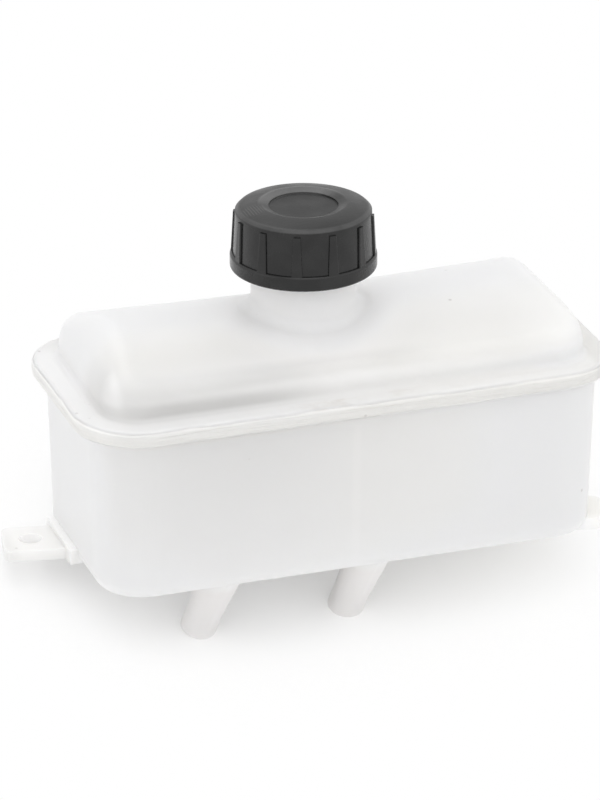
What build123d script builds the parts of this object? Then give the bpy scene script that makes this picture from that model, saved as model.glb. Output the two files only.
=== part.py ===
from build123d import *
import os
from math import asin, cos, degrees, radians, sin, sqrt, tan

# Remote brake fluid reservoir: a two-chamber moulded tank with a welded lid and a screw cap.
# Millimetres. +X runs along the tank, +Y towards its back wall and +Z up.
# The origin is the centre of the screw hole, at the underside of the lug that it goes through.

# Tub, the lower moulding
tub_length = 149.0  # outside, at the bottom
tub_width = 67.4
tub_height = 48.9  # underside of the tank to underside of the flange
tub_corner = 14.0
tub_edge = 4.0  # rounding between the walls and the bottom
draft = 1.5  # degrees that each wall leans outwards
wall = 2.2
floor_wall = 2.4
inside_edge = 1.8
partition_wall = 1.8
partition_height = 45.5
partition_x = -1.2

# Flanges, one ply on each moulding, welded face to face
end_overhang = 4.2  # past the top of the tub's end walls
side_overhang = 2.9  # past the top of its long walls
flange_corner = 19.0
flange_ply = 2.5
flange_edge = 1.4
flange_root = 1.0  # fillet under the tub's flange

# Lid, the upper moulding
end_ledge = 8.0  # flange left bare outside the lid's end walls
side_ledge = 6.7  # and outside its long walls
lid_corner = 11.0
lid_side = 7.2  # flange to the edge where the side would meet the arched roof, at mid-length
lid_rise = 8.9  # that edge to the crown of the roof
lid_sag = 1.4  # how much lower the roof is at mid-length than at its ends
end_round = 16.0  # rounding from the end walls into the roof
end_drop = 1.1  # how far the top of that rounding would stand above the crown at the ends
lid_shoulder = 7.0
lid_foot = 2.4  # fillet between the side and the flange
roof_wall = 2.2

# Filler neck
neck_x = -5.3
neck_wall = 2.3
neck_height = 25.4  # crown to rim
neck_root = 4.2
neck_lip = 0.5
thread_depth = 1.4
thread_clearance = 0.35  # crest of the neck's thread to the cap's wall

# Cap
cap_gap = 12.0  # crown to the cap's lower edge
skirt_radius = 20.1  # just above the bead
skirt_wall = 3.25  # there
bead_proud = 0.9
bead_height = 4.4
bead_round = 0.8
skirt_lean = 0.65  # how much smaller the skirt is at its top
rib_count = 12
rib_width = 3.3  # at the bead
rib_taper = 3.0  # degrees that the sides and the front of a rib lean in
rib_depth = 0.6
rib_gap = 1.0  # top of the skirt to the tip of a rib
rib_round = 0.35
rib_phase = 5.7  # degrees from +X to the first rib
crest_radius = 12.2  # highest line of the ring round the cap's top
crest_height = 0.77  # above the edge of the recess
crest_round = 1.2
ring_fall = 1.34  # crest down to the ring's outer edge
ring_bulge = 0.2  # how much the ring's slope stands out from a straight one
ring_round = 0.8  # drop and width of the rounded edge outside the ring
recess_radius = 9.9
recess_depth = 0.42
crown_wall = 2.5  # cap material under the recess
mouth_chamfer = 0.8

# Rubber seal, clamped between the cap and the neck's rim
seal_thickness = 2.0
seal_clearance = 0.5  # to the cap's skirt
seal_web = 0.9
seal_land = 1.6  # how far the thick rim reaches inside the neck's bore
seal_fillet = 0.4

# Hose spigots
spigot_x = (-39.0, 6.0)
spigot_inset = 9.7  # front wall to their axes, at the bottom of the tank
spigot_lean = 25.7  # degrees from straight down
spigot_heading = 113.0  # degrees from +X to the side that they lean towards
spigot_length = (22.0, 23.8)
spigot_straight = 8.5
spigot_radius = 5.3
spigot_root = 6.6
spigot_round = 0.9
spigot_bore = 3.2

# Lugs, both aligned with the line that joins them
lug_heading = 168.8  # degrees from +X to the left lug's direction
lug_width = 16.6
lug_thickness = 3.2
lug_corner = 2.6
screw_lug_y = 9.0
screw_lug_length = 18.4  # out from the tub's end wall
screw_offset = 10.4  # wall to the screw hole
screw_radius = 3.3
root_block_depth = 2.4
root_block_height = 4.6
root_block_margin = 3.9  # how much wider the block is than the lug, on each side
tongue_y = -21.2
tongue_length = 6.0
tongue_corner = 4.6

# Heights and radii that follow
seam = tub_height + flange_ply
lid_base = seam + flange_ply
crown = lid_base + lid_side + lid_rise
rim = crown + neck_height
cap_radius = skirt_radius + bead_proud
cap_bore = skirt_radius - skirt_wall
neck_radius = cap_bore - thread_clearance - thread_depth
neck_bore = neck_radius - neck_wall
cap_bottom = crown + cap_gap
cap_ceiling = rim + seal_thickness
recess_floor = cap_ceiling + crown_wall
recess_edge = recess_floor + recess_depth
crest = recess_edge + crest_height
ring_edge = crest - ring_fall
skirt_height = ring_edge - ring_round
past = 5.0  # how far a cutting tool runs past the face that it cuts

# Outlines that follow
top_lean = tub_height * tan(radians(draft))
flange_length = tub_length + 2 * (top_lean + end_overhang)
flange_width = tub_width + 2 * (top_lean + side_overhang)
lid_length = flange_length - 2 * end_ledge
lid_width = flange_width - 2 * side_ledge

# The tank's centre, placed from the screw hole
tank_x = tub_length / 2 - screw_offset * cos(radians(lug_heading))
tank_y = -screw_lug_y - screw_offset * sin(radians(lug_heading))
spigot_y = spigot_inset - tub_width / 2
ground = Plane(origin=(tank_x, tank_y, 0))


def drafted_block(length, width, corner, low, high, rounding):
    """Block with leaning walls; length, width and corner are those at z = 0."""
    with BuildPart() as block:
        for level in (low, high):
            lean = level * tan(radians(draft))
            with BuildSketch(ground.offset(level)):
                RectangleRounded(length + 2 * lean, width + 2 * lean, corner + lean)
        loft()
        fillet(block.faces().sort_by(Axis.Z)[0].edges(), rounding)
    return block.part


def arched_block(length, width, corner, low, top, end, shoulder):
    """Block with rounded ends and corners under a roof arched across it, lowest at mid-length."""
    arch_radius = ((width / 2) ** 2 + lid_rise ** 2) / (2 * lid_rise)
    reach = min(width / 2 + past, arch_radius * 0.95)
    drop = arch_radius - sqrt(arch_radius ** 2 - reach ** 2)
    sag_radius = ((length / 2) ** 2 + lid_sag ** 2) / (2 * lid_sag)
    turn = asin((length / 2 + past) / sag_radius)
    sag_axis = Axis((tank_x, tank_y, top + sag_radius), (0, -1, 0))
    first_section = Plane(
        origin=(tank_x - sag_radius * sin(turn), tank_y, top + sag_radius * (1 - cos(turn))),
        x_dir=(0, 1, 0),
        z_dir=(cos(turn), 0, -sin(turn)),
    )
    high = top + lid_sag + end_drop
    front = Plane(origin=(tank_x, tank_y, 0), x_dir=(1, 0, 0), z_dir=(0, -1, 0))
    with BuildPart() as block:
        with BuildSketch(front) as side_view:
            with Locations((0, low)):
                Rectangle(length, high - low, align=(Align.CENTER, Align.MIN))
            fillet(side_view.vertices().group_by(Axis.Y)[-1], end)
        extrude(amount=width / 2, both=True)
        fillet(block.edges().filter_by(Axis.Z), corner)
        with BuildSketch(first_section):
            with BuildLine():
                ThreePointArc((-reach, -drop), (0, 0), (reach, -drop))
                Polyline((reach, -drop), (reach, high), (-reach, high), (-reach, -drop))
            make_face()
        revolve(axis=sag_axis, revolution_arc=degrees(2 * turn), mode=Mode.SUBTRACT)
        roof = block.faces().filter_by(GeomType.TORUS).sort_by(SortBy.AREA)[-1]
        fillet(roof.edges(), shoulder)
    return block.part


# Tub
cavity_block = drafted_block(
    tub_length - 2 * wall,
    tub_width - 2 * wall,
    tub_corner - wall,
    floor_wall,
    seam + past,
    inside_edge,
)
tub_block = drafted_block(tub_length, tub_width, tub_corner, 0, tub_height, tub_edge)

with BuildPart() as cavity:
    add(cavity_block)
    with BuildSketch(ground):
        with Locations((partition_x, 0)):
            Rectangle(partition_wall, tub_width)
    extrude(amount=partition_height, mode=Mode.SUBTRACT)

lean_plan = sin(radians(spigot_lean))
spigot_axis = Vector(
    lean_plan * cos(radians(spigot_heading)),
    lean_plan * sin(radians(spigot_heading)),
    -cos(radians(spigot_lean)),
)
spigots = [
    (Plane(origin=(tank_x + x, tank_y + spigot_y, 0), z_dir=spigot_axis), length)
    for x, length in zip(spigot_x, spigot_length)
]
spigot_sunk = spigot_root * tan(radians(spigot_lean)) + floor_wall / 2

lug_direction = Vector(cos(radians(lug_heading)), sin(radians(lug_heading)), 0)
screw_wall = Vector(tank_x - tub_length / 2, tank_y + screw_lug_y, 0)
tongue_wall = Vector(tank_x + tub_length / 2, tank_y + tongue_y, 0)
screw_plane = Plane(origin=screw_wall, x_dir=lug_direction, z_dir=(0, 0, 1))
tongue_plane = Plane(origin=tongue_wall, x_dir=-lug_direction, z_dir=(0, 0, 1))

with BuildPart() as tub:
    add(tub_block)
    with BuildSketch(ground.offset(tub_height)):
        RectangleRounded(flange_length, flange_width, flange_corner)
    extrude(amount=flange_ply)
    under_flange = tub.faces().filter_by(Axis.Z).sort_by(Axis.Z)[1]
    fillet(under_flange.inner_wires()[0].edges(), flange_root)
    fillet(under_flange.outer_wire().edges(), flange_edge)

    for plane, length, corner in (
        (screw_plane, screw_lug_length, lug_corner),
        (tongue_plane, tongue_length, tongue_corner),
    ):
        with BuildSketch(plane) as lug:
            with Locations((length / 2 - tub_edge, 0)):
                Rectangle(length + 2 * tub_edge, lug_width)
            fillet(lug.vertices().group_by(Axis.X)[-1], corner)
        extrude(amount=lug_thickness)
    with BuildSketch(ground):
        with Locations((-tub_length / 2 - root_block_depth, screw_lug_y)):
            Rectangle(
                root_block_depth + tub_edge,
                lug_width + 2 * root_block_margin,
                align=(Align.MIN, Align.CENTER),
            )
    extrude(amount=root_block_height)

    for plane, length in spigots:
        with BuildSketch(plane.offset(-spigot_sunk)):
            Circle(spigot_root)
        with BuildSketch(plane.offset(length - spigot_straight)):
            Circle(spigot_radius)
        loft()
        with BuildSketch(plane.offset(length - spigot_straight)):
            Circle(spigot_radius)
        extrude(amount=spigot_straight)
    fillet(tub.faces().filter_by(Axis((0, 0, 0), spigot_axis)).edges(), spigot_round)

    add(cavity.part, mode=Mode.SUBTRACT)
    for plane, length in spigots:
        with BuildSketch(plane.offset(-spigot_sunk - past)):
            Circle(spigot_bore)
        extrude(amount=spigot_sunk + length + 2 * past, mode=Mode.SUBTRACT)
    with BuildSketch(screw_plane):
        with Locations((screw_offset, 0)):
            Circle(screw_radius)
    extrude(amount=lug_thickness, mode=Mode.SUBTRACT)
tub.part.label = "tub"

# Lid
lid_outside = arched_block(lid_length, lid_width, lid_corner, seam, crown, end_round, lid_shoulder)
lid_inside = arched_block(
    lid_length - 2 * wall,
    lid_width - 2 * wall,
    lid_corner - wall,
    seam - past,
    crown - roof_wall,
    end_round - wall,
    lid_shoulder - wall,
)

with BuildPart() as lid:
    add(lid_outside)
    with BuildSketch(ground.offset(seam)):
        RectangleRounded(flange_length, flange_width, flange_corner)
    extrude(amount=flange_ply)
    flange_top = lid.faces().filter_by(Axis.Z).sort_by(Axis.Z)[-1]
    fillet(flange_top.inner_wires()[0].edges(), lid_foot)
    fillet(flange_top.outer_wire().edges(), flange_edge)
    with BuildSketch(ground.offset(lid_base)):
        with Locations((neck_x, 0)):
            Circle(neck_radius)
    extrude(amount=rim - lid_base)
    fillet(lid.edges(Select.NEW).sort_by(Axis.Z)[0], neck_root)
    add(lid_inside, mode=Mode.SUBTRACT)
    with BuildSketch(ground.offset(seam)):
        with Locations((neck_x, 0)):
            Circle(neck_bore)
    extrude(amount=rim - seam, mode=Mode.SUBTRACT)
    fillet(lid.faces().sort_by(Axis.Z)[-1].edges(), neck_lip)
lid.part.label = "lid"

# Cap
skirt_top = skirt_radius - skirt_lean
ring_radius = skirt_top - ring_round
bead_top = cap_bottom + bead_height
cap_plane = Plane(origin=(tank_x + neck_x, tank_y, 0), x_dir=(1, 0, 0), z_dir=(0, -1, 0))
cap_axis = Axis((tank_x + neck_x, tank_y, 0), (0, 0, 1))

with BuildPart() as cap:
    with BuildSketch(cap_plane) as cap_profile:
        with BuildLine():
            Polyline(
                (crest_radius, crest),
                (recess_radius, recess_edge),
                (recess_radius, recess_floor),
                (0, recess_floor),
                (0, cap_ceiling),
                (cap_bore, cap_ceiling),
                (cap_bore, cap_bottom + mouth_chamfer),
                (cap_bore + mouth_chamfer, cap_bottom),
                (cap_radius, cap_bottom),
                (cap_radius, bead_top),
                (skirt_radius, bead_top),
                (skirt_top, skirt_height),
                (ring_radius, ring_edge),
            )
            ThreePointArc(
                (ring_radius, ring_edge),
                ((crest_radius + ring_radius) / 2, (crest + ring_edge) / 2 + ring_bulge),
                (crest_radius, crest),
            )
        make_face()
        top_corners = cap_profile.vertices().sort_by(Axis.Y)
        fillet(top_corners[-1], crest_round)
    revolve(axis=cap_axis)
    outer_rings = cap.edges().filter_by(GeomType.CIRCLE)
    fillet(outer_rings.filter_by(lambda ring: abs(ring.radius - cap_radius) < 0.01), bead_round)
    fillet(outer_rings.filter_by(lambda ring: abs(ring.radius - ring_radius) < 0.01), ring_round)
    with BuildSketch(ground.offset(bead_top - bead_round)):
        with Locations((neck_x, 0)):
            with PolarLocations(skirt_radius + rib_depth, rib_count, rib_phase):
                Rectangle(
                    rib_depth + (skirt_radius - cap_bore) / 2,
                    rib_width,
                    align=(Align.MAX, Align.CENTER),
                )
    extrude(amount=skirt_height - rib_gap - bead_top + bead_round, taper=rib_taper)
    rib_edges = cap.edges().filter_by(lambda edge: edge.length > 2 * rib_width)
    rib_edges = rib_edges.filter_by(
        lambda edge: (edge.center() - cap_axis.position).cross(cap_axis.direction).length > skirt_radius
    )
    fillet(rib_edges.filter_by(GeomType.LINE), rib_round)
cap.part.label = "cap"

# Seal
seal_radius = cap_bore - seal_clearance
with BuildPart() as cap_seal:
    with BuildSketch(cap_plane):
        with BuildLine():
            Polyline(
                (0, cap_ceiling),
                (seal_radius, cap_ceiling),
                (seal_radius, rim),
                (neck_bore - seal_land, rim),
                (neck_bore - seal_land, cap_ceiling - seal_web),
                (0, cap_ceiling - seal_web),
                close=True,
            )
        make_face()
    revolve(axis=cap_axis)
    fillet(cap_seal.faces().sort_by(Axis.Z)[0].edges(), seal_fillet)
cap_seal.part.label = "cap_seal"

os.makedirs("parts", exist_ok=True)
export_step(tub.part, "parts/tub.step")
export_step(lid.part, "parts/lid.step")
export_step(cap.part, "parts/cap.step")
export_step(cap_seal.part, "parts/cap_seal.step")
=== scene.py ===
import math

import bpy
from mathutils import Matrix, Vector, noise


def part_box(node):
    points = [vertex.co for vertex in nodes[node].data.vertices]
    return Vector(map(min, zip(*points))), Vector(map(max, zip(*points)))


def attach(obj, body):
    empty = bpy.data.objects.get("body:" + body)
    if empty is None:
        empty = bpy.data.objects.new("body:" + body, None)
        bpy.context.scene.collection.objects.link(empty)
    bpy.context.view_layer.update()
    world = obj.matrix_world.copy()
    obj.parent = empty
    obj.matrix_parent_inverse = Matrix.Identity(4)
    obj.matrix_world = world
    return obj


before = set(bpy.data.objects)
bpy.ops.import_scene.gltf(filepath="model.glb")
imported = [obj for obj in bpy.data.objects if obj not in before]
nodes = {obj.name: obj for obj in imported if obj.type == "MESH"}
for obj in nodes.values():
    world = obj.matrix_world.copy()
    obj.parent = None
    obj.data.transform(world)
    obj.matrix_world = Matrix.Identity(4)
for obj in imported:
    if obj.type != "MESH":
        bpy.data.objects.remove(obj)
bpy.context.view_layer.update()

scene = bpy.context.scene
MM = 0.001


def middle(node):
    """Middle of a node's box in plan, at height 0, which is the lugs' underside."""
    low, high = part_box(node)
    return Vector(((low[0] + high[0]) / 2, (low[1] + high[1]) / 2, 0))


# Places that the frame gives, in metres; its origin is the left lug's screw hole
LUG_HOLE = Vector((0, 0, 0))
CENTRE = middle("lid")
NECK = middle("cap")
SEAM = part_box("lid")[0][2]
CAP_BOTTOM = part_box("cap")[0][2]
CAP_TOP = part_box("cap")[1][2]

# For the materials, in millimetres: levels above the lugs' underside, then radii
SEAM_LEVEL = SEAM / MM
FLANGE_PLY = 2.5
FLANGE_UNDER = SEAM_LEVEL - FLANGE_PLY
FLANGE_TOP = SEAM_LEVEL + FLANGE_PLY
CROWN = 70.0
LUG_TOP = 3.2
CAP_LEVEL = CAP_TOP / MM
LUG_HOLE_RADIUS = 3.3
CAP_RECESS_RADIUS = 9.9
CAP_CREST_RADIUS = 12.2
CAP_RING_RADIUS = 18.65

# Colours of the tank: its moulding, cool and warm, a pinkish tone darkened as painted shade, a pale tone for
# painted light, then the dirt on it
COOL = (0.922, 0.916, 0.905, 1)
WARM = (0.925, 0.915, 0.889, 1)
SHADED_PINK = (0.865, 0.84, 0.828, 1)
LIT_PALE = (1.0, 0.972, 0.948, 1)
DIRT = (0.68, 0.64, 0.60, 1)
SPECK = (0.16, 0.12, 0.10, 1)

# Colours of the cap, its wear and painted sheen, the seal and the studio
CAP_BLACK = (0.006, 0.006, 0.006, 1)
CAP_GREY = (0.012, 0.012, 0.012, 1)
WORN_AND_SHEEN = (0.11, 0.11, 0.11, 1)
RUBBER = (0.018, 0.018, 0.018, 1)
DUSTY_RUBBER = (0.035, 0.034, 0.033, 1)
FLOOR_WHITE = (0.96, 0.96, 0.96, 1)
WHITE = (1, 1, 1, 1)

# Camera, fitted to the photograph
AZIMUTH = math.radians(-18.99)
ELEVATION = math.radians(23.6)
DISTANCE = 1.4244
PAN_RIGHT = -0.0060
PAN_UP = 0.03597
LENS = 219.9
SENSOR_HEIGHT = 36
CLIP_END = 20


def make_camera():
    back = Vector((
        math.sin(AZIMUTH) * math.cos(ELEVATION),
        -math.cos(AZIMUTH) * math.cos(ELEVATION),
        math.sin(ELEVATION),
    ))
    right = Vector((math.cos(AZIMUTH), math.sin(AZIMUTH), 0))
    up = back.cross(right)
    data = bpy.data.cameras.new("camera")
    data.sensor_fit = "VERTICAL"
    data.sensor_height = SENSOR_HEIGHT
    data.lens = LENS
    data.clip_end = CLIP_END
    camera = bpy.data.objects.new("camera", data)
    place = CENTRE + right * PAN_RIGHT + up * PAN_UP + back * DISTANCE
    turn = Matrix((right, up, back)).transposed()
    camera.matrix_world = Matrix.Translation(place) @ turn.to_4x4()
    scene.collection.objects.link(camera)
    scene.camera = camera


make_camera()


class Nodes:
    """Short way to write a node tree."""

    def __init__(self, tree):
        self.tree = tree
        tree.nodes.clear()

    def add(self, kind, inputs=None, **settings):
        """New node, whose inputs are linked to sockets or set to plain values."""
        node = self.tree.nodes.new(kind)
        for key, value in settings.items():
            setattr(node, key, value)
        for key, value in (inputs or {}).items():
            if isinstance(value, bpy.types.NodeSocket):
                self.tree.links.new(value, node.inputs[key])
            else:
                node.inputs[key].default_value = value
        return node

    def math(self, operation, a, b=0.0):
        return self.add("ShaderNodeMath", {0: a, 1: b}, operation=operation).outputs[0]

    def times(self, *values):
        product = values[0]
        for value in values[1:]:
            product = self.math("MULTIPLY", product, value)
        return product

    def ramp(self, value, start, end, low=0.0, high=1.0):
        """Smooth change from low at start to high at end."""
        return self.add(
            "ShaderNodeMapRange",
            {"Value": value, "From Min": start, "From Max": end, "To Min": low, "To Max": high},
            interpolation_type="SMOOTHSTEP",
        ).outputs["Result"]

    def band(self, value, centre, half, soft):
        """1 inside the band, 0 outside, with soft edges."""
        off = self.math("ABSOLUTE", self.math("SUBTRACT", value, centre))
        return self.ramp(off, half, half + soft, 1.0, 0.0)

    def mix(self, factor, a, b):
        return self.add("ShaderNodeMix", {0: factor, 6: a, 7: b}, data_type="RGBA").outputs[2]

    def shade(self, colour, amount, *masks):
        """Colour made darker by the amount where the masks are 1, or lighter where it is negative."""
        keep = self.math("SUBTRACT", 1.0, self.times(*masks, amount))
        return self.add(
            "ShaderNodeMix", {0: 1.0, 6: colour, 7: keep}, data_type="RGBA", blend_type="MULTIPLY"
        ).outputs[2]

    def noise(self, vector, scale, detail=2.0, rough=0.5):
        return self.add(
            "ShaderNodeTexNoise", {"Vector": vector, "Scale": scale, "Detail": detail, "Roughness": rough}
        ).outputs["Fac"]

    def vector(self, operation, a, b):
        return self.add("ShaderNodeVectorMath", {0: a, 1: b}, operation=operation).outputs

    def stretch(self, vector, scale):
        return self.vector("MULTIPLY", vector, scale)["Vector"]

    def position(self, origin):
        """Place on the piece: a vector from the origin in metres, then x, y and z in millimetres."""
        coordinates = self.add("ShaderNodeTexCoord").outputs["Object"]
        place = self.vector("SUBTRACT", coordinates, origin)["Vector"]
        in_mm = self.stretch(place, (1 / MM, 1 / MM, 1 / MM))
        axes = self.add("ShaderNodeSeparateXYZ", {"Vector": in_mm}).outputs
        return place, axes["X"], axes["Y"], axes["Z"]

    def plan_distance(self, place, point):
        """Distance from a point as seen from above, in millimetres."""
        flat = self.stretch(place, (1 / MM, 1 / MM, 0))
        return self.vector("DISTANCE", flat, point / MM)["Value"]

    def bump(self, height, strength, distance, normal=None):
        inputs = {"Height": height, "Strength": strength, "Distance": distance}
        if normal is not None:
            inputs["Normal"] = normal
        return self.add("ShaderNodeBump", inputs).outputs["Normal"]

    def seen(self):
        """1 where something is looked at, also in a reflection or through glass, and 0 for its light."""
        path = self.add("ShaderNodeLightPath").outputs
        seen = self.math("MAXIMUM", path["Is Camera Ray"], path["Is Glossy Ray"])
        return self.math("MAXIMUM", seen, path["Is Transmission Ray"])

    def finish(self, shader, output="ShaderNodeOutputMaterial"):
        self.add(output, {"Surface": shader.outputs[0]})


def new_material(name):
    material = bpy.data.materials.new(name)
    material.use_nodes = True
    return material, Nodes(material.node_tree)


class TankPlaces:
    """Where a point of the tank lies from its middle, x to the right and y to the back, with masks."""

    def __init__(self, n):
        self.place, self.x, self.y, self.z = n.position(CENTRE)
        self.front = n.ramp(self.y, -24, -31)
        self.tub = n.ramp(self.z, FLANGE_UNDER + 1.6, FLANGE_UNDER - 0.4)
        self.lid = n.ramp(self.z, FLANGE_TOP - 0.1, FLANGE_TOP + 0.6)
        self.lug = n.times(n.ramp(self.z, LUG_TOP + 1.4, LUG_TOP + 0.8), n.ramp(self.x, -73.5, -75.5))
        self.flange = n.band(self.z, SEAM_LEVEL, 2.4, 0.8)
        self.strands = n.noise(n.stretch(self.place, (70.0, 70.0, 1100.0)), 1.0, 4.0, 0.6)
        self.grime = n.ramp(n.noise(self.place, 38.0, 2.0), 0.42, 0.7)


def moulding_tone_and_light(n, tank):
    """Warm, but neutral low at the left, pinkish and darkened as painted shade in the thick spigots, and
    pale as painted light in the neck.
    """
    cloud = n.noise(tank.place, 18.0, 3.0)
    drift = n.times(n.math("SUBTRACT", cloud, 0.5), 30.0)
    warm = n.ramp(n.math("ADD", tank.x, drift), -30, 20)
    wall = n.ramp(tank.z, FLANGE_UNDER - 1.1, FLANGE_UNDER - 2.6)
    lid_foot = n.band(tank.z, FLANGE_TOP + 5.1, 4.5, 5.0)
    cool = n.times(n.math("SUBTRACT", 1.0, warm), n.math("MAXIMUM", wall, lid_foot))
    colour = n.mix(cool, WARM, COOL)
    # Painted shade: the spigots pinkish and darker
    spigots = n.ramp(tank.z, 0, -4)
    colour = n.mix(spigots, colour, SHADED_PINK)
    # Painted light: the neck paler, where the cap's shadow falls
    neck = n.ramp(tank.z, CROWN + 0.5, CROWN + 3.5)
    return n.mix(neck, colour, LIT_PALE)


def wall_painted_light_and_shade(n, tank, colour):
    """Painted shade left of the front wall's middle, deepest at the top, and on the right and back walls;
    painted light on the left wall, the right half, under the flange and at the foot.
    """
    x, y, z = tank.x, tank.y, tank.z
    # Painted shade on the front wall, darker left of its middle and towards the top
    offset = n.math("DIVIDE", n.math("ADD", x, 34), 46)
    bell = n.math("EXPONENT", n.times(offset, offset, -1.0))
    rise = n.ramp(z, 0, FLANGE_UNDER - 2.9, 0.35, 1.0)
    colour = n.shade(colour, 0.145, bell, tank.front, tank.tub, rise)
    # Painted light on the left wall, on the right half, under the flange and at the foot
    left_wall = n.ramp(x, -69, -76)
    colour = n.shade(colour, -0.045, left_wall)
    right_half = n.ramp(x, 20, 62)
    under_flange = n.ramp(z, FLANGE_UNDER - 3.9, FLANGE_UNDER + 0.1)
    colour = n.shade(colour, -0.08, tank.tub, n.math("MAXIMUM", right_half, under_flange))
    front_foot = n.times(n.ramp(z, 18, 2), tank.front)
    colour = n.shade(colour, -0.05, front_foot)
    left_foot = n.times(n.ramp(z, 26, 6), n.ramp(x, -40, -60))
    colour = n.shade(colour, -0.04, left_foot)
    # Painted shade on the right and back walls
    right_wall = n.ramp(x, 70.5, 74)
    colour = n.shade(colour, 0.12, right_wall)
    back_wall = n.ramp(y, 24, 31)
    return n.shade(colour, 0.06, back_wall)


def lug_painted_light_and_shade(n, tank, colour):
    """Painted shade on the lug, most at the tip, and painted light in its screw hole."""
    colour = n.shade(colour, 0.15, tank.lug)
    tip = n.times(tank.lug, n.ramp(tank.x, -88, -93))
    colour = n.shade(colour, 0.10, tip)
    # Painted light in the screw hole
    off_hole = n.plan_distance(tank.place, LUG_HOLE - CENTRE)
    hole = n.ramp(off_hole, LUG_HOLE_RADIUS + 0.4, LUG_HOLE_RADIUS + 0.1)
    return n.mix(hole, colour, LIT_PALE)


def lid_painted_light_and_shade(n, tank, colour):
    """Painted shade to the front and left and painted light round the neck, with painted light and shade
    along its front.
    """
    x, y, z = tank.x, tank.y, tank.z
    # Painted light on the back of the roof and painted shade on its front slope, more at the left
    rear = n.ramp(y, -12, 4)
    colour = n.shade(colour, -0.045, tank.lid, rear)
    slope = n.times(tank.lid, n.ramp(y, -3, -22), n.ramp(x, 70, 45))
    colour = n.shade(colour, 0.10, slope)
    left_slope = n.times(slope, n.ramp(x, -20, -40))
    colour = n.shade(colour, 0.04, left_slope)
    # Painted light round the neck, where the cap's shadow falls
    round_neck = n.ramp(n.plan_distance(tank.place, NECK - CENTRE), 34, 18)
    colour = n.mix(n.times(round_neck, tank.lid), colour, LIT_PALE)

    # The front wall: painted light low down, a painted highlight at the corner, and painted shade at the
    # shoulder and the left
    side = n.times(tank.front, tank.lid, n.ramp(z, CROWN - 1.5, CROWN - 5.0))
    low_side = n.times(side, n.ramp(z, CROWN - 8.5, CROWN - 11.5))
    colour = n.shade(colour, -0.07, low_side)
    corner = n.times(tank.lid, n.band(x, -70.5, 0.7, 2.5))
    corner = n.times(corner, n.ramp(y, -18, -24), n.ramp(z, FLANGE_TOP + 2.6, FLANGE_TOP + 5.1))
    colour = n.shade(colour, -0.12, corner)
    shoulder = n.times(n.ramp(y, -24, -28), n.band(z, CROWN - 6.8, 1.4, 2.2), n.band(x, -8, 16, 24))
    colour = n.shade(colour, 0.08, shoulder)
    left_side = n.times(side, n.band(x, -47, 20, 30))
    colour = n.shade(colour, 0.10, left_side)

    # The foot, with painted shade at the left and painted light at the right
    above_flange = n.ramp(z, FLANGE_TOP + 0.6, FLANGE_TOP + 1.9)
    foot = n.times(tank.front, above_flange, n.ramp(z, FLANGE_TOP + 6.3, FLANGE_TOP + 3.6))
    colour = n.shade(colour, 0.15, foot, n.band(x, -43, 10, 30))
    colour = n.shade(colour, -0.05, foot, n.ramp(x, 0, 40))

    # Painted shade in a line under the shoulder that falls slightly to the right, and in a valley beside the
    # left end
    crease = n.math("SUBTRACT", CROWN - 3.2, n.times(n.math("ADD", x, 66), 0.045))
    line = n.times(tank.front, n.band(z, crease, 0.1, 1.2), n.band(x, -42, 16, 12))
    colour = n.shade(colour, 0.11, line)
    valley = n.times(n.band(x, -74, 2, 4), n.band(y, -16, 6, 12), tank.lid)
    return n.shade(colour, 0.10, valley)


def partition_painted_light(n, tank, colour):
    """Painted light: a pale line where the partition's edge shows through the front wall."""
    below_flange = n.ramp(tank.z, FLANGE_UNDER - 1.9, FLANGE_UNDER - 4.9)
    line = n.times(n.band(tank.x, -1.2, 0.6, 1.2), below_flange, n.ramp(tank.y, -20, -30))
    return n.mix(n.times(line, 0.10), colour, LIT_PALE)


def dirt_tone(n, tank, colour):
    """Grime between the flange's strands, and specks that lie mostly on the flange and the lug."""
    stain = n.times(tank.flange, n.ramp(tank.strands, 0.5, 0.72), tank.grime)
    colour = n.mix(n.times(stain, 0.55), colour, DIRT)
    cells = n.add("ShaderNodeTexVoronoi", {"Vector": tank.place, "Scale": 420.0, "Randomness": 1.0}).outputs
    pick = n.add("ShaderNodeSeparateColor", {"Color": cells["Color"]}).outputs[0]
    crowd = n.math("MAXIMUM", n.times(tank.flange, tank.grime), n.times(tank.lug, 1.6))
    share = n.math("ADD", n.times(crowd, 0.07), 0.003)
    speck = n.times(n.ramp(cells["Distance"], 0.30, 0.10), n.math("LESS_THAN", pick, share))
    return n.mix(n.times(speck, 0.25), colour, SPECK)


def tank_normal(n, tank):
    """Fine grain, slight waves of the moulding, and ridges along the weld."""
    grain = n.noise(tank.place, 1100.0, 3.0)
    waves = n.noise(tank.place, 55.0, 2.0)
    ridges = n.times(n.band(tank.z, SEAM_LEVEL, 1.8, 0.6), n.math("SUBTRACT", tank.strands, 0.5))
    normal = n.bump(grain, 0.06, 0.0003)
    normal = n.bump(waves, 0.25, 0.001, normal)
    return n.bump(ridges, 0.8, 0.0009, normal)


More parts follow.
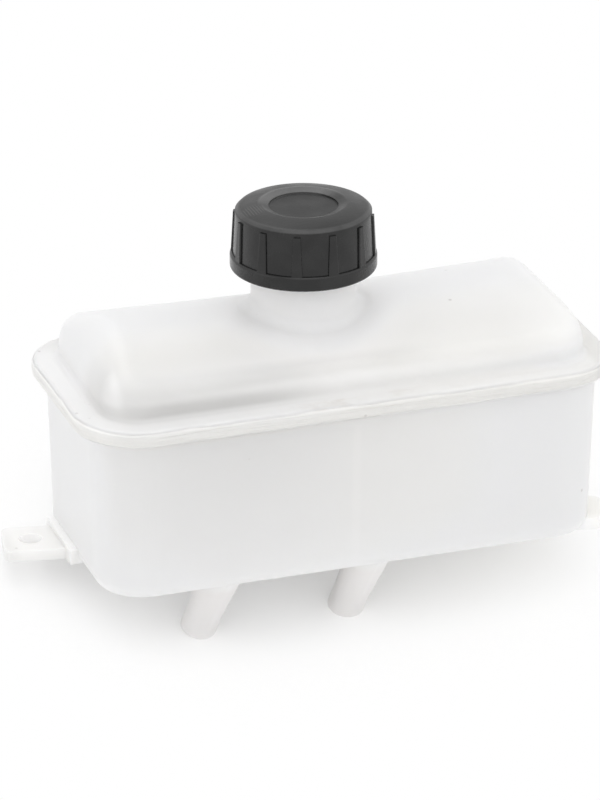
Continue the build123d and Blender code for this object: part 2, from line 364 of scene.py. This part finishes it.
def tank_material(name, scatter, flange_shade, rim_light):
    """Milky plastic, with light and shade painted into its colour. The weld's skin is too thin to scatter
    light, so it gets more painted shade on the flange and painted light at its rims.
    """
    material, n = new_material(name)
    tank = TankPlaces(n)
    colour = moulding_tone_and_light(n, tank)
    for tone in (wall_painted_light_and_shade, lug_painted_light_and_shade, lid_painted_light_and_shade, partition_painted_light):
        colour = tone(n, tank, colour)
    # Painted shade on the flange
    colour = n.shade(colour, flange_shade, tank.flange)
    colour = dirt_tone(n, tank, colour)
    # Painted light at the rims of the weld's skin
    rim = n.math("SUBTRACT", tank.flange, n.band(tank.z, SEAM_LEVEL, 1.2, 0.6))
    colour = n.shade(colour, -rim_light, rim)
    shader = n.add("ShaderNodeBsdfPrincipled", {
        "Base Color": colour,
        "Roughness": 0.36,
        "IOR": 1.49,
        "Subsurface Weight": scatter,
        "Subsurface Radius": (1.0, 1.0, 0.97),
        "Subsurface Scale": 0.004,
        "Normal": tank_normal(n, tank),
    })
    shader.subsurface_method = "RANDOM_WALK"
    n.finish(shader)
    return material


def cap_material():
    """Matt black plastic with painted highlights on its crest and edge, scratches and a few scores."""
    material, n = new_material("cap_plastic")
    place, x, y, z = n.position(NECK)
    away = n.plan_distance(place, Vector((0, 0, 0)))
    grain = n.noise(place, 1600.0, 4.0)
    cloud = n.noise(place, 160.0, 3.0)
    scratches = n.noise(n.stretch(place, (260.0, 2600.0, 260.0)), 1.0, 3.0, 0.6)
    top = n.ramp(z, CAP_LEVEL - 3.5, CAP_LEVEL - 2.0)
    scratched = n.times(top, n.ramp(scratches, 0.58, 0.70), n.ramp(x, -6, -12, 0.4, 1.0))
    colour = n.mix(n.ramp(cloud, 0.35, 0.7), CAP_BLACK, CAP_GREY)
    colour = n.mix(n.times(scratched, 0.2), colour, WORN_AND_SHEEN)

    # Painted highlights on the inner side of the crest, behind the recess, and on the ring's outer edge
    crest = n.times(top, n.band(away, CAP_CREST_RADIUS - 0.9, 1.0, 1.2), n.ramp(y, 1, 8))
    outside = n.ramp(away, CAP_RING_RADIUS - 1.05, CAP_RING_RADIUS - 0.45)
    edge = n.times(n.band(z, CAP_LEVEL - 1.6, 0.2, 0.4), outside)
    painted_highlight = n.math("MAXIMUM", crest, n.times(edge, 0.45))
    colour = n.mix(n.times(painted_highlight, n.ramp(cloud, 0.2, 0.6, 0.6, 1.0)), colour, WORN_AND_SHEEN)

    # Short parallel scores, 0.8 mm apart, on the left of the ring
    spot = n.plan_distance(place, Vector((-15.2, -0.5, 0)) * MM)
    phase = n.math("ADD", n.times(x, 2 * math.pi / 0.8), n.times(cloud, 2.0))
    scores = n.times(top, n.ramp(spot, 4.2, 2.2), n.ramp(n.math("SINE", phase), 0.2, 0.9))
    colour = n.mix(n.times(scores, 0.4), colour, WORN_AND_SHEEN)

    # The top is more matt, and the recess in it most of all
    matt = n.times(top, n.ramp(away, CAP_RECESS_RADIUS + 0.3, CAP_RECESS_RADIUS - 0.2, 0.14, 0.26))
    rough = n.math("ADD", n.ramp(cloud, 0.3, 0.7, 0.20, 0.30), matt)
    normal = n.bump(grain, 0.2, 0.0002)
    normal = n.bump(scratches, 0.06, 0.0002, normal)
    shader = n.add("ShaderNodeBsdfPrincipled", {
        "Base Color": colour,
        "Roughness": rough,
        "IOR": 1.46,
        "Normal": normal,
    })
    n.finish(shader)
    return material


def seal_material():
    material, n = new_material("seal_rubber")
    place = n.add("ShaderNodeTexCoord").outputs["Object"]
    dust = n.noise(place, 900.0, 4.0)
    shader = n.add("ShaderNodeBsdfPrincipled", {
        "Base Color": n.mix(n.ramp(dust, 0.45, 0.8), RUBBER, DUSTY_RUBBER),
        "Roughness": 0.7,
        "Normal": n.bump(dust, 0.15, 0.0003),
    })
    n.finish(shader)
    return material


def dress(obj, material):
    for slot in obj.material_slots:
        slot.material = material


tank_plastic = tank_material("tank_plastic", scatter=1.0, flange_shade=0.04, rim_light=0.0)
weld_plastic = tank_material("weld_plastic", scatter=0.0, flange_shade=0.12, rim_light=0.10)
cap_plastic = cap_material()
dress(nodes["tub"], tank_plastic)
dress(nodes["lid"], tank_plastic)
dress(nodes["cap"], cap_plastic)
dress(nodes["cap_seal"], seal_material())


def new_piece(name, points, faces, material):
    mesh = bpy.data.meshes.new(name)
    mesh.from_pydata(points, [], faces)
    mesh.materials.append(material)
    mesh.update()
    piece = bpy.data.objects.new(name, mesh)
    scene.collection.objects.link(piece)
    return piece


def uneven(place, scale, shift):
    """Smooth unevenness round 0, the same on every run."""
    return noise.fractal(place * scale + Vector(shift), 1.0, 2.0, 2)


# Weld between the flanges, in metres: the plies' corners and rounded edges, then the skin over them
FLANGE_CORNER = 0.019
PLY_EDGE = 0.0014
PLY_FLAT = 0.0011
WELD_HALF = 0.0020
WELD_SKIN = 0.00022
WELD_SWELL = 0.00008
WELD_LUMPS = 0.00006
WELD_LINES = 0.00007
WELD_DRIFT = 0.00012
WELD_SUNK = 0.00005
WELD_ROWS = 15
WELD_STEPS = 1400


def flange_path(count):
    """Points evenly round the flanges' edge, each with its outward direction."""
    low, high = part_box("lid")
    half_length = (high[0] - low[0]) / 2
    half_width = (high[1] - low[1]) / 2
    bend = math.pi / 2 * FLANGE_CORNER
    sides = 2 * [(half_length, half_width), (half_width, half_length)]
    straights = [2 * (half_along - FLANGE_CORNER) for half_along, _ in sides]
    total = sum(straights) + 4 * bend
    for i in range(count):
        along = total * i / count
        side = 0
        while along >= straights[side] + bend:
            along -= straights[side] + bend
            side += 1
        half_along, half_across = sides[side]
        if along < straights[side]:
            out = Vector((0, -1, 0))
            place = Vector((along - straights[side] / 2, -half_across, 0))
        else:
            angle = (along - straights[side]) / FLANGE_CORNER
            out = Vector((math.sin(angle), -math.cos(angle), 0))
            corner = Vector((half_along - FLANGE_CORNER, FLANGE_CORNER - half_across, 0))
            place = corner + out * FLANGE_CORNER
        spin = Matrix.Rotation(side * math.pi / 2, 3, "Z")
        yield CENTRE + spin @ place, spin @ out


def weld_flash():
    """Thin uneven skin that follows the two plies' rounded edges and hides the line between them."""
    points = []
    for place, out in flange_path(WELD_STEPS):
        swell = uneven(place, 60, (7, 3, 1))
        drift = WELD_DRIFT * uneven(place, 90, (2, 9, 4))
        for row in range(WELD_ROWS):
            height = WELD_HALF * (2 * row / (WELD_ROWS - 1) - 1)
            past_flat = max(0.0, abs(height) - PLY_FLAT)
            round_off = PLY_EDGE - math.sqrt(PLY_EDGE ** 2 - past_flat ** 2)
            lines = uneven(place, 24, (0, 0, height * 2600))
            lumps = uneven(place, 300, (0, 0, height * 900))
            crown = 1 - (height / WELD_HALF) ** 2
            bulge = WELD_SKIN + WELD_SWELL * swell + WELD_LUMPS * lumps
            skin = crown * bulge + WELD_LINES * lines * math.sqrt(crown)
            if row in (0, WELD_ROWS - 1):
                skin = -WELD_SUNK
            points.append(place + out * (skin - round_off) + Vector((0, 0, SEAM + height + drift)))
    faces = []
    for i in range(WELD_STEPS):
        a = WELD_ROWS * i
        b = WELD_ROWS * ((i + 1) % WELD_STEPS)
        faces += [(a + row, b + row, b + row + 1, a + row + 1) for row in range(WELD_ROWS - 1)]
    flash = new_piece("weld_flash", points, faces, weld_plastic)
    flash.data.shade_smooth()
    return flash


# Screw thread, in metres: one ridge round the neck and one inside the cap, half a pitch above it
PITCH = 0.004
RIDGE_HEIGHT = 0.0014
RIDGE_ROOT = 0.0020
RIDGE_CREST = 0.0009
RIDGE_SUNK = 0.0002
STEPS_PER_TURN = 72
RUN_OUT_STEPS = 8
NECK_WALL = 0.0151
CAP_WALL = 0.01685
NECK_THREAD_START = CAP_BOTTOM + 0.0038
CAP_THREAD_START = NECK_THREAD_START + PITCH / 2


def thread_ridge(name, wall, crest, start, turns, material):
    """Helical ridge from the wall radius to the crest radius that runs out at both ends."""
    steps = round(STEPS_PER_TURN * turns)
    base = wall + math.copysign(RIDGE_SUNK, wall - crest)
    points = []
    for i in range(steps + 1):
        angle = 2 * math.pi * turns * i / steps
        z = start + PITCH * turns * i / steps
        run_out = min(1.0, i / RUN_OUT_STEPS, (steps - i) / RUN_OUT_STEPS)
        tip = wall + (crest - wall) * math.sin(run_out * math.pi / 2)
        profile = ((base, -RIDGE_ROOT), (tip, -RIDGE_CREST), (tip, RIDGE_CREST), (base, RIDGE_ROOT))
        for radius, width in profile:
            points.append(NECK + Vector((radius * math.cos(angle), radius * math.sin(angle), z + width / 2)))
    faces = []
    for a in range(0, 4 * steps, 4):
        b = a + 4
        for j, k in ((0, 1), (1, 2), (2, 3), (3, 0)):
            faces.append((a + j, b + j, b + k, a + k))
    last = 4 * steps
    faces.append((0, 1, 2, 3))
    faces.append((last + 3, last + 2, last + 1, last))
    if crest < wall:
        faces = [tuple(reversed(face)) for face in faces]
    return new_piece(name, points, faces, material)


weld = weld_flash()
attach(weld, "tank")

neck_thread = thread_ridge(
    "neck_thread", NECK_WALL, NECK_WALL + RIDGE_HEIGHT, NECK_THREAD_START, 2.0, tank_plastic
)
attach(neck_thread, "tank")

cap_thread = thread_ridge(
    "cap_thread", CAP_WALL, CAP_WALL - RIDGE_HEIGHT, CAP_THREAD_START, 1.25, cap_plastic
)
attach(cap_thread, "cap")


# Floor: the tank leans back on its spigot tips and its back bottom edge
FLOOR_TILT = math.radians(22.5)
FLOOR_POINT = CENTRE + Vector((0, 0.0325, 0.0006))
FLOOR_HALF = 3.0


def floor_material():
    """White, except close to the object, where the floor's own shading shows. Clear from below."""
    material, n = new_material("floor")
    shaded = n.add("ShaderNodeBsdfDiffuse", {"Color": FLOOR_WHITE})
    white = n.add("ShaderNodeEmission", {"Color": WHITE, "Strength": 1.0})
    clear = n.add("ShaderNodeBsdfTransparent")
    openness = n.add("ShaderNodeAmbientOcclusion", {"Distance": 0.06}, samples=8).outputs["AO"]
    # Painted light: the floor's shadow paler towards the tank's left end
    x = n.position(CENTRE)[1]
    left = n.ramp(x, -40, -68)
    whiteness = n.ramp(n.math("ADD", openness, n.times(left, 0.10)), 0.36, 0.97, 0.25, 1.0)
    upper = n.add("ShaderNodeMixShader", {
        0: n.times(n.seen(), whiteness),
        1: shaded.outputs[0],
        2: white.outputs[0],
    })
    below = n.add("ShaderNodeNewGeometry").outputs["Backfacing"]
    n.finish(n.add("ShaderNodeMixShader", {0: below, 1: upper.outputs[0], 2: clear.outputs[0]}))
    return material


tilt = Matrix.Rotation(FLOOR_TILT, 3, "X")
corners = [
    FLOOR_POINT + tilt @ Vector((x * FLOOR_HALF, y * FLOOR_HALF, 0))
    for x, y in ((-1, -1), (1, -1), (1, 1), (-1, 1))
]
floor = new_piece("floor", corners, [(0, 1, 2, 3)], floor_material())


WORLD_LIGHT = 0.86


def make_world():
    """White to look at, and a little dimmer as a light."""
    world = bpy.data.worlds.new("studio")
    scene.world = world
    world.use_nodes = True
    n = Nodes(world.node_tree)
    strength = n.add("ShaderNodeMix", {0: n.seen(), 2: WORLD_LIGHT, 3: 1.0}, data_type="FLOAT").outputs[0]
    n.finish(n.add("ShaderNodeBackground", {"Color": WHITE, "Strength": strength}), "ShaderNodeOutputWorld")


def area_light(name, position, size, power):
    """Round light at a position from the tank's middle, aimed at it."""
    data = bpy.data.lights.new(name, "AREA")
    data.shape = "DISK"
    data.size = size
    data.energy = power
    light = bpy.data.objects.new(name, data)
    offset = Vector(position)
    turn = (-offset).to_track_quat("-Z", "Y").to_matrix()
    light.matrix_world = Matrix.Translation(CENTRE + offset) @ turn.to_4x4()
    scene.collection.objects.link(light)


make_world()
area_light("top", (-0.05, -0.3, 1.15), 0.8, 1.0)
area_light("back", (-0.05, 0.62, 1.08), 0.5, 0.85)
area_light("front", (-0.1, -0.8, 0.9), 1.4, 1.9)
area_light("left", (-1.1, -0.1, 0.5), 1.0, 0.9)
area_light("right", (1.0, -0.4, 0.6), 1.0, 0.9)
scene.view_settings.view_transform = "Standard"
